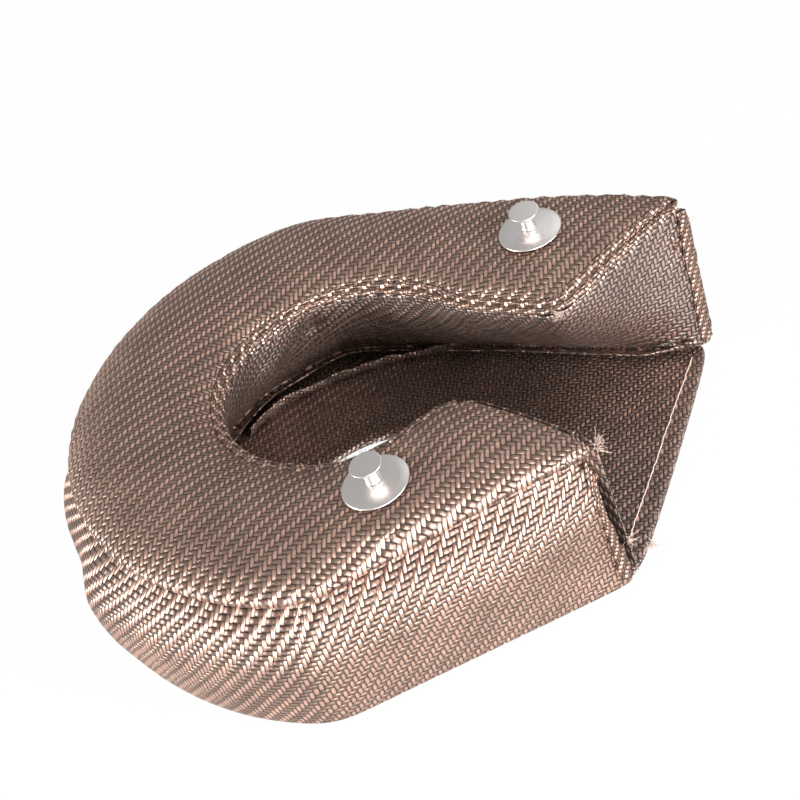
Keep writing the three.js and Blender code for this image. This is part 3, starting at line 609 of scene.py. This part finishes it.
# %% [markdown]
# ## Padding
#
# The felt mat and the wool packing hardly show, but they are finished as what they are: soft
# blocks with an uneven surface.

# %% Felt mat and side packing


def soften(node, name):
    shape = subdivided(paired_copy(node), 1)
    bmesh.ops.recalc_face_normals(shape, faces=shape.faces)
    shape.normal_update()
    points = positions(shape)
    dents = 0.25 * waves(points, 6, 10) - 0.2
    for vertex, dent in zip(shape.verts, dents):
        vertex.co += vertex.normal * dent * MM
    drawn_in = 1.3 * tucked(points, along_line(points, OUTLINE)[1])
    inward = -outward_from(points)
    move_verts(shape, np.column_stack([inward * (drawn_in * MM)[:, None], np.zeros(len(points))]))
    piece = finish_piece(name, shape, silica_felt, node)
    return piece


felt_mat = soften("felt_mat", "felt_mat_padding")
side_packing = soften("side_packing", "side_packing_wool")

# %% [markdown]
# ## Lacing anchors
#
# Each anchor is turned: a slightly dished washer, and a post whose stem flares into a flat head so
# that the lacing wire can't slip off. A turned part is a profile spun about its axis. The axis and
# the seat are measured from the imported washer, so the new pieces stand exactly where it does.

# %% Lacing anchors
SPIN_STEPS = 72


def axis_of(node):
    """Centre and direction of a turned node's axis."""
    points = np.array([vertex.co for vertex in nodes[node].data.vertices])
    centre = (points.min(0) + points.max(0)) / 2
    _, _, directions = np.linalg.svd(np.unique((points / (0.01 * MM)).round(), axis=0) - centre / (0.01 * MM))
    axis = Vector(directions[2])
    if axis.z < 0:
        axis.negate()
    heights = (points - centre) @ np.array(axis)
    return Vector(centre) + axis * heights.min(), axis


def spun(name, profile, base, axis, node, material=stainless):
    """Spins a profile of radius and height, in millimetres, about an axis."""
    shape = bmesh.new()
    corners = [shape.verts.new((radius * MM, 0, height * MM)) for radius, height in profile]
    edges = [shape.edges.new(pair) for pair in zip(corners, corners[1:])]
    bmesh.ops.spin(shape, geom=corners + edges, cent=(0, 0, 0), axis=(0, 0, 1), angle=2 * math.pi,
                   steps=SPIN_STEPS, use_merge=True)
    bmesh.ops.remove_doubles(shape, verts=shape.verts, dist=0.001 * MM)
    bmesh.ops.recalc_face_normals(shape, faces=shape.faces)
    turn = axis.to_track_quat("Z", "Y").to_matrix().to_4x4()
    bmesh.ops.transform(shape, matrix=Matrix.Translation(base) @ turn, verts=shape.verts)
    return finish_piece(name, shape, material, node)


def rounded(corners, radius, steps=3):
    """A profile with each inner corner rounded by a short arc of straight steps."""
    result = [corners[0]]
    for before, corner, after in zip(corners, corners[1:], corners[2:]):
        before, corner, after = Vector(before), Vector(corner), Vector(after)
        reach = min(radius, (before - corner).length / 2.2, (after - corner).length / 2.2)
        start = corner + (before - corner).normalized() * reach
        end = corner + (after - corner).normalized() * reach
        for k in range(steps + 1):
            f = k / steps
            result.append(tuple(start.lerp(corner, f).lerp(corner.lerp(end, f), f)))
    return result + [corners[-1]]


WASHER = {"radius": 12.75, "bore": 1.9, "sheet": 0.8, "dish": 1.0, "rim": 3.0}
POST = {"head": 6.1, "rim": 0.9, "stem": 2.9, "height": 8.2, "collar": 0.28, "shank": 1.5}
LOCK = {"outer": 8.0, "inner": 1.7, "sheet": 0.9}
ABOVE_SEAT = 0.1


def anchor(side):
    """Washer, post and lock washer of one anchor."""
    base, axis = axis_of(f"{side}_anchor_washer")
    seat = base - axis * ABOVE_SEAT * MM
    radius, bore, sheet, dish, rim = (WASHER[key] for key in ("radius", "bore", "sheet", "dish", "rim"))
    washer = rounded([
        (bore, dish), (radius - rim, dish / 2), (radius - 0.6, 0.12), (radius, 0.35),
        (radius - 0.25, sheet), (radius - rim, dish / 2 + sheet), (POST["stem"], dish + sheet),
        (bore, dish + sheet),
    ], 0.5)
    spun(f"{side}_anchor_washer_turned", washer + [washer[0]], seat, axis, f"{side}_anchor_washer")
    foot = dish + sheet + 0.2
    lock_base, _ = axis_of(f"{side}_anchor_lock_washer")
    depth = (lock_base - seat).dot(axis) / MM
    top = foot + POST["height"]
    stem, head, shank = POST["stem"], POST["head"], POST["shank"]
    post = rounded([
        (0, depth - 1.6), (shank * 0.6, depth - 1.6), (shank, depth - 0.9), (shank, foot),
        (stem + POST["collar"], foot), (stem + POST["collar"], foot + 0.75), (stem, foot + 1.0),
        (stem, top - 3.6), (stem + 0.7, top - 2.1), (head - 0.5, top - 0.95), (head, top - 0.55),
        (head, top - 0.1), (head - 0.4, top), (0, top),
    ], 0.3)
    spun(f"{side}_anchor_post_turned", post, seat, axis, f"{side}_anchor_post")
    outer, inner, blank = LOCK["outer"], LOCK["inner"], LOCK["sheet"]
    lock = [(inner, 0), (outer - 0.2, 0), (outer, blank / 2), (outer - 0.2, blank), (inner, blank),
            (inner, 0)]
    spun(f"{side}_anchor_lock_washer_pressed", lock, lock_base, axis, f"{side}_anchor_lock_washer")


anchor("front")
anchor("rear")

# %% [markdown]
# ## Thread and loose fibre
#
# Sewing thread and frayed fibre are thin, so they are curves with a round section, turned into a
# mesh. Each lies on the cloth: its points are dropped onto the surface from above.

# %% Helpers for thread


def onto(piece, point, lift=0.0, reach=60):
    """The point on a piece straight below, raised by lift millimetres."""
    start = Vector((point.x, point.y, point.z + reach * MM))
    hit, found, _, _ = piece.ray_cast(start, Vector((0, 0, -1)))
    if not hit:
        _, found, _, _ = piece.closest_point_on_mesh(point)
    return found + Vector((0, 0, lift * MM))


def strands(name, paths, diameter, material, slot):
    """Thin round strands through lists of points, as one mesh."""
    curve = bpy.data.curves.new(name, "CURVE")
    curve.dimensions = "3D"
    curve.bevel_depth = diameter / 2 * MM
    curve.bevel_resolution = 1
    curve.use_fill_caps = True
    curve.resolution_u = 3
    for path in paths:
        spline = curve.splines.new("NURBS")
        spline.points.add(len(path) - 1)
        for point, where in zip(spline.points, path):
            point.co = (*where, 1)
        spline.order_u = 3
        spline.use_endpoint_u = True
    draft = bpy.data.objects.new(name, curve)
    bpy.context.scene.collection.objects.link(draft)
    mesh = bpy.data.meshes.new_from_object(draft.evaluated_get(bpy.context.evaluated_depsgraph_get()))
    bpy.data.objects.remove(draft)
    shape = bmesh.new()
    shape.from_mesh(mesh)
    return finish_piece(name, shape, material)


def points_along(line, spacing, inset=0.0, start=0.0, end=0.0):
    """Evenly spaced points and directions along a line in plan, moved sideways by inset."""
    lengths = [(b - a).length for a, b in zip(line, line[1:])]
    total = sum(lengths)
    result = []
    distance = start * MM
    while distance <= total - end * MM:
        rest, k = distance, 0
        while k < len(lengths) - 1 and rest > lengths[k]:
            rest -= lengths[k]
            k += 1
        step = (line[k + 1] - line[k]).normalized()
        side = Vector((-step.y, step.x, 0))
        result.append((line[k] + step * rest + side * inset * MM, step, side))
        distance += spacing * MM
    return result


print("thread lies on", top_panel.name, "and", floor_panel.name)

# %% [markdown]
# Where two pieces meet, the cloth is folded over into a hem of two soft ridges with the seam in the
# groove between them. A hem is a closed section carried between two guide lines: one on the edge
# of the first piece and one on the face of the second.

# %% Hems
HEM_SECTION = [
    (0.0, -1.0), (0.02, 0.1), (0.11, 0.75), (0.24, 1.05), (0.37, 0.75), (0.47, -0.1), (0.53, -0.1),
    (0.63, 0.75), (0.76, 1.0), (0.9, 0.55), (1.0, -0.3), (0.95, -1.0), (0.5, -1.2),
]
HEM_GIRTH = 9
HEM_WAVE = 5
HEM_EVENED = 3


def nearest(piece, point):
    return piece.closest_point_on_mesh(point)[1]


def evened(line, width):
    """A line of points, each replaced by the mean of its neighbours."""
    rows = np.array(line)
    padded = np.pad(rows, ((width, width), (0, 0)), mode="edge")
    mean = sum(padded[k:k + len(rows)] for k in range(2 * width + 1)) / (2 * width + 1)
    return [Vector(row) for row in mean]


def hem(name, first, second, thick, ragged, seed, material):
    """A double ridge between two lines of points, as thick as given in millimetres."""
    first, second = evened(first, HEM_EVENED), evened(second, HEM_EVENED)
    shape = bmesh.new()
    layer = shape.loops.layers.uv.new(CLOTH_MAP)
    rings, flats = [], []
    run = 0
    for k, (a, b) in enumerate(zip(first, second)):
        ahead, behind = first[min(k + 1, len(first) - 1)], first[max(k - 1, 0)]
        run += (first[k] - first[max(k - 1, 0)]).length
        normal = (ahead - behind).cross(b - a).normalized()
        ring, flat = [], []
        for m, (share, rise) in enumerate(HEM_SECTION):
            wobble = noise.noise(Vector((run / (HEM_WAVE * MM), m * 0.37, seed)))
            edge = (b - a).normalized() * ragged * wobble * abs(share - 0.5) * MM
            swell = normal * rise * thick * (1 + 0.5 * wobble) * MM
            where = a.lerp(b, share) + edge + swell
            ring.append(shape.verts.new(where))
            flat.append((run / MM, share * HEM_GIRTH))
        rings.append(ring)
        flats.append(flat)
    count = len(HEM_SECTION)
    for k in range(len(rings) - 1):
        for m in range(count):
            n = (m + 1) % count
            face = shape.faces.new((rings[k][m], rings[k + 1][m], rings[k + 1][n], rings[k][n]))
            places = (flats[k][m], flats[k + 1][m], flats[k + 1][n], flats[k][n])
            for loop, flat in zip(face.loops, places):
                loop[layer].uv = flat
    shape.faces.new(rings[0])
    shape.faces.new(reversed(rings[-1]))
    bmesh.ops.recalc_face_normals(shape, faces=shape.faces)
    area = sum(face.calc_area() for face in shape.faces)
    piece = finish_piece(name, shape, material)
    print(name, "length", round(run / MM), "mm, area", round(area, 5), "m2")
    return piece


# %% [markdown]
# The widest hem closes the rear arm's end. Round the hole it is a thin double ridge, and at the
# ends of the side wall and of the lining a narrow one runs down to the floor.

# %% Hem pieces
REAR_HEM = 6.6
RIM_HEM = 4.4
HEM_STEP = 1.6
HEM_WIDENS_FROM = 66
HEM_WIDENS_OVER = 14
rim_line = points_along(RIM[1:], HEM_STEP, start=2, end=0.5)
first, second = [], []
for here, step, side in rim_line:
    on_arm = min(max((here.x - place(HEM_WIDENS_FROM, 0).x) / (HEM_WIDENS_OVER * MM), 0), 1)
    width = RIM_HEM + (REAR_HEM - RIM_HEM) * on_arm
    high = Vector((here.x, here.y, 76 * MM))
    edge = nearest(lining_piece, high - side * 0.5 * MM)
    first.append(edge - side * 0.4 * MM + Vector((0, 0, 0.2 * MM)))
    second.append(onto(top_panel, edge + side * width * MM, 0.1))
rim_hem = hem("rim_hem_folded", first, second, 1.0, 1.6, 1, outer_twill)



def edge_on(piece, points, towards, lift):
    """The nearest places on a piece, looked for and lifted by so many millimetres each way."""
    return [nearest(piece, point + Vector(towards) * MM) + Vector(lift) * MM for point in points]


WALL_END = [place(99.5, -57.5, 71 - HEM_STEP * k) for k in range(43)]
first = edge_on(side_wall, WALL_END, (2.0, 0.0, 0), (0.8, 0.2, 0))
second = edge_on(side_wall, WALL_END, (-4.6, -4.0, 0), (0.2, -0.4, 0))
hem("wall_end_hem_folded", first, second, 0.8, 2.4, 2, outer_twill)

LINING_END = [place(126, 73, 74 - HEM_STEP * k) for k in range(44)]
first = edge_on(lining_piece, LINING_END, (0, 0, 0), (0.6, 0.3, 0))
second = edge_on(lining_piece, LINING_END, (-3.4, -5.0, 0), (0.2, -0.4, 0))
hem("lining_end_hem_folded", first, second, 0.8, 2.4, 3, outer_twill)

# %% [markdown]
# Inside, the seam between lining and floor is left unfinished: its allowance stands up as a ragged
# flap.

# %% Seam flap
SEAM_CORNERS = ((122, 69), (92, 74), (63, 79), (27, 88), (-8, 86), (-38, 75), (-58, 64), (-70, 44))
FLAP_HEIGHT = 6.5
FLAP_RAGGED = 1.5
FLAP_LEAN = 3.2
seam_line = points_along([place(x, y) for x, y in SEAM_CORNERS], HEM_STEP, start=1)
first = [onto(floor_panel, here, 0.1, 20) for here, step, side in seam_line]
flap_top = []
for k, foot in enumerate(first):
    lean = seam_line[k][2]
    height = FLAP_HEIGHT + FLAP_RAGGED * noise.noise(Vector((k * 0.11, 0, 9)))
    flap_top.append(foot + lean * FLAP_LEAN * MM + Vector((0, 0, height * MM)))
hem("seam_flap_unfinished", first, flap_top, 0.55, 3.0, 4, shaded_lining_twill)

# %% [markdown]
# The rear arm's end is closed with a loose overcast stitch: each stitch is a small bright arch
# along the upper side of the hem.

# %% Stitches along the rear arm's end
random.seed(11)
REAR_EDGE = [place(78, 28), place(124.4, 74)]
STITCH = 5.2
arches = []
holes = points_along(REAR_EDGE, STITCH, inset=REAR_HEM + 0.6, start=-8, end=3)
for (here, step, side), (there, _, _) in zip(holes, holes[1:]):
    arch = []
    for f, out, rise in ((0, 0, -0.3), (0.12, 0.3, 0.3), (0.5, 0.9, 0.75), (0.85, 0.5, 0.4), (1.0, 0, -0.3)):
        arch.append(onto(top_panel, here.lerp(there, f) - side * out * MM, rise + 0.4))
    arches.append(arch)
strands("sewing_thread_rear_end", arches, 0.75, pale_thread, "outer_cloth")

# %% [markdown]
# The floor panel's hem across the mouth has one row of saddle stitches, a few millimetres in from
# the edge, which ends in a small knot of back stitches.

# %% Stitches across the mouth
MOUTH_EDGE = [place(100.5, -42), place(124.5, 68)]
row = points_along(MOUTH_EDGE, 4.2, inset=5.5, start=3, end=3)
SADDLE_STITCH = ((0, 0, -0.15), (0.15, 0.5, 0.25), (0.5, 1, 0.35), (0.85, 0.5, 0.25), (1, 0, -0.15))
stitches = []
for (here, step, side), (there, _, _) in zip(row, row[1:]):
    sway = random.uniform(-0.25, 0.25)
    stitches.append([onto(floor_panel, here.lerp(there, f) + side * sway * out * MM, rise)
                     for f, out, rise in SADDLE_STITCH])
knot_centre = row[0][0]
for k in range(5):
    spin = random.uniform(0, 2 * math.pi)
    reach = Vector((math.cos(spin), math.sin(spin), 0)) * 1.6 * MM
    stitches.append([onto(floor_panel, knot_centre + reach * f, rise)
                     for f, rise in ((-1, 0), (-0.3, 0.5 + 0.1 * k), (0.4, 0.6 + 0.1 * k), (1, 0.1))])
strands("sewing_thread_mouth_hem", stitches, 0.5, pale_thread, "lining_cloth")

# %% [markdown]
# Round the opening the hem is sewn with thread that has taken the colour of the cloth.

# %% Stitches round the rim
rim_row = points_along(RIM[1:-1], 3.6, inset=RIM_HEM + 0.8, start=6, end=4)
rim_stitches = []
for (here, step, side), (there, _, _) in zip(rim_row, rim_row[1:]):
    rim_stitches.append([onto(top_panel, here.lerp(there, f), rise)
                         for f, rise in ((0.08, -0.2), (0.25, 0.15), (0.5, 0.2), (0.75, 0.15), (0.92, -0.2))])
strands("sewing_thread_rim", rim_stitches, 0.5, dark_thread, "outer_cloth")

# %% [markdown]
# ## Frayed edges
#
# Cut yarns show as short tufts along the rim of the opening and at the corners of both arms. A
# tuft is a fan of fibres that start close together and bend with their own small curl.

# %% Frayed fibres


def fibre(root, direction, length, curl, rng):
    """One bent fibre of four points."""
    axis = Vector((rng.uniform(-1, 1), rng.uniform(-1, 1), rng.uniform(-1, 1))).normalized()
    path, here, heading = [root], root.copy(), direction.normalized()
    for _ in range(3):
        heading = (heading + axis * curl * rng.uniform(0.3, 1)).normalized()
        here = here + heading * length / 3 * MM
        path.append(here.copy())
    return path


def tufts(roots, count, length, spread, curl, seed):
    """Fans of fibres at each root, given as a place and a direction."""
    rng = random.Random(seed)
    paths = []
    for where, direction in roots:
        for _ in range(rng.randint(max(1, count // 2), count)):
            jitter = Vector((rng.gauss(0, 1), rng.gauss(0, 1), rng.gauss(0, 0.5)))
            root = where + jitter * 0.35 * MM
            heading = direction.normalized() + jitter * spread
            paths.append(fibre(root, heading, length * rng.uniform(0.5, 1.3), curl, rng))
    return paths


rim_tufts = []
for here, step, side in points_along(RIM[1:-1], 1.5, inset=0.4, start=8, end=2):
    angle = math.degrees(math.atan2(here.y - AXIS.y, here.x - AXIS.x))
    if 95 < angle < 178 or -110 < angle < -60:
        root = nearest(rim_hem, onto(top_panel, here + side * 2.2 * MM, 1.5))
        rim_tufts.append((root, -side * 0.7 - step * 0.5 + Vector((0, 0, 0.6))))
strands("frayed_fibres_rim", tufts(rim_tufts, 5, 3.2, 0.45, 0.5, 21), 0.16, loose_fibre, "outer_cloth")

corner_tufts = []
for x, y, z, dx, dy, dz, fans in (
    (97, -57.5, 66, 1, 0.2, 0.3, 7), (99, -55.5, 20, 0.9, -0.3, 0.2, 4), (123.5, 72, 62, 0.6, -0.6, 0.1, 6),
    (104, -42, 3.5, 0.3, -0.8, 0.4, 5), (78, 27, 62, -0.6, -0.8, 0.2, 5),
):
    for k in range(fans):
        corner_tufts.append((place(x - 0.5 * k * dy, y + 0.5 * k * dx, z + 0.4 * k), Vector((dx, dy, dz))))
strands("frayed_fibres_corners", tufts(corner_tufts, 7, 4.0, 0.6, 0.6, 22), 0.16, loose_fibre, "outer_cloth")
print("tufts:", len(rim_tufts), "on the rim,", len(corner_tufts), "at corners")

# %% [markdown]
# ## Sheets
#
# Each cloth piece is a flat cut before it is sewn.

# %% [markdown]
# ## Studio
#
# The photograph was taken on white with broad soft light. The floor is white and keeps a faint
# shadow. Softboxes stand low in front, to the left and to the right, where the shining yarns mirror
# them and the top stays dull. A large weak one stands high behind.

# %% Floor, world and lights
FLOOR_SIZE = 6.0
PAPER_WHITE = 0.96
WORLD_FILL = 0.42
floor_shape = bmesh.new()
bmesh.ops.create_grid(floor_shape, x_segments=1, y_segments=1, size=FLOOR_SIZE / 2)
bmesh.ops.translate(floor_shape, verts=floor_shape.verts, vec=(0, 0, -0.3 * MM))
floor_mesh = bpy.data.meshes.new("studio_floor")
floor_shape.to_mesh(floor_mesh)
floor_shape.free()
floor = bpy.data.objects.new("studio_floor", floor_mesh)
bpy.context.scene.collection.objects.link(floor)
floor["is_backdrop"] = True

paper, tree = new_material("white_background_paper")
path = add_node(tree, "ShaderNodeLightPath").node
camera_ray = path.outputs["Is Camera Ray"]
glossy_ray = path.outputs["Is Glossy Ray"]
glass_ray = path.outputs["Is Transmission Ray"]
seen = add_node(tree, "ShaderNodeMath", {0: camera_ray, 1: glossy_ray}, operation="ADD")
seen = add_node(tree, "ShaderNodeMath", {0: seen, 1: glass_ray}, operation="ADD", use_clamp=True)
seen = add_node(tree, "ShaderNodeMath", {0: seen, 1: PAPER_WHITE}, operation="MULTIPLY")
lit = add_node(tree, "ShaderNodeBsdfDiffuse", {"Color": to_linear("#f4f4f4")})
white = add_node(tree, "ShaderNodeEmission", {"Color": to_linear("#ffffff"), "Strength": 1.0})
mixed = add_node(tree, "ShaderNodeMixShader", {0: seen, 1: lit, 2: white})
add_node(tree, "ShaderNodeOutputMaterial", {"Surface": mixed})
floor_mesh.materials.append(paper)

world = bpy.data.worlds.new("studio")
world.use_nodes = True
world.node_tree.nodes.clear()
seen = add_node(world.node_tree, "ShaderNodeLightPath")
dim = add_node(world.node_tree, "ShaderNodeBackground", {
    "Color": to_linear("#ffffff"), "Strength": WORLD_FILL})
bright = add_node(world.node_tree, "ShaderNodeBackground", {"Color": to_linear("#ffffff"), "Strength": 1.0})
mixed = add_node(world.node_tree, "ShaderNodeMixShader", {0: seen, 1: dim, 2: bright})
add_node(world.node_tree, "ShaderNodeOutputWorld", {"Surface": mixed})
bpy.context.scene.world = world

LIGHT_AIM = place(10, 0, 45)


def softbox(name, azimuth, elevation, distance, width, height, radiance):
    """A rectangular lamp that faces the object. Azimuth 0 is in front of it."""
    data = bpy.data.lights.new(name, "AREA")
    data.shape = "RECTANGLE"
    data.size, data.size_y = width, height
    data.energy = radiance * math.pi * width * height
    lamp = bpy.data.objects.new(name, data)
    turn, lift = math.radians(azimuth), math.radians(elevation)
    away = Vector((math.sin(turn) * math.cos(lift), -math.cos(turn) * math.cos(lift), math.sin(lift)))
    faced = away.to_track_quat("Z", "Y").to_matrix().to_4x4()
    lamp.matrix_world = Matrix.Translation(LIGHT_AIM + away * distance) @ faced
    bpy.context.scene.collection.objects.link(lamp)


softbox("softbox_front", 20, 14, 1.3, 0.5, 0.4, 34)
softbox("softbox_left", -66, 12, 1.2, 0.3, 0.45, 30)
softbox("softbox_right", 68, 18, 1.2, 0.28, 0.45, 34)
softbox("softbox_back", 165, 46, 1.4, 0.9, 0.7, 0.8)

# %% Sizes and finish
low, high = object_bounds()
print("dressed box, mm:", [round(side / MM, 1) for side in high - low])
